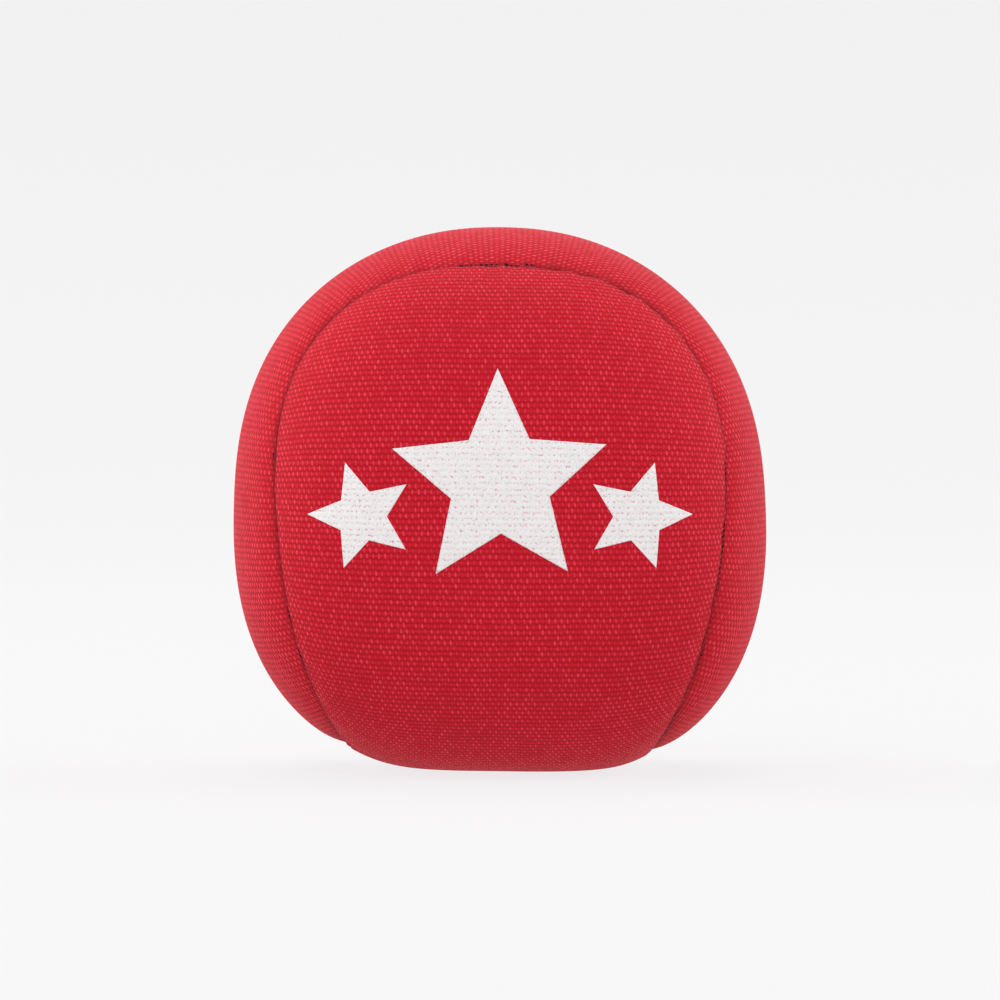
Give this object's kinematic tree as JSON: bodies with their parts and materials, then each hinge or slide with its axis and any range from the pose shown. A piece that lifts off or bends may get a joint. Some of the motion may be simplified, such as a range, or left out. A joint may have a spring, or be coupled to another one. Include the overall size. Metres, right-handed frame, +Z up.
{
  "type": "juggling ball",
  "caption": "Round sewn canvas juggling ball, firmly filled, with a continuous curved seam and a flat where it rests.",
  "frame": {"origin": "middle of the flat that the ball rests on", "axes": "+Z up, the printed front lobe faces -Y, +X to the right seen from the front"},
  "size_m": [0.0628, 0.0629, 0.0641],
  "materials": {
    "red_canvas": "plain woven cotton canvas, slightly fuzzy",
    "red_thread": "twisted sewing thread",
    "white_ink": "screen-printed ink, the weave shows through",
    "bag_cotton": "thin undyed cotton",
    "white_thread": "twisted sewing thread",
    "grain": "fine loose grains, packed tight"
  },
  "bodies": {
    "root": {"front_back_panel": "red_canvas", "side_panel": "red_canvas", "seam_needle_thread": "red_thread", "seam_bobbin_thread": "red_thread", "closing_thread": "red_thread", "front_print": "white_ink", "inner_bag_left": "bag_cotton", "inner_bag_right": "bag_cotton", "inner_bag_thread": "white_thread", "filling": "grain"}
  },
  "joints": []
}
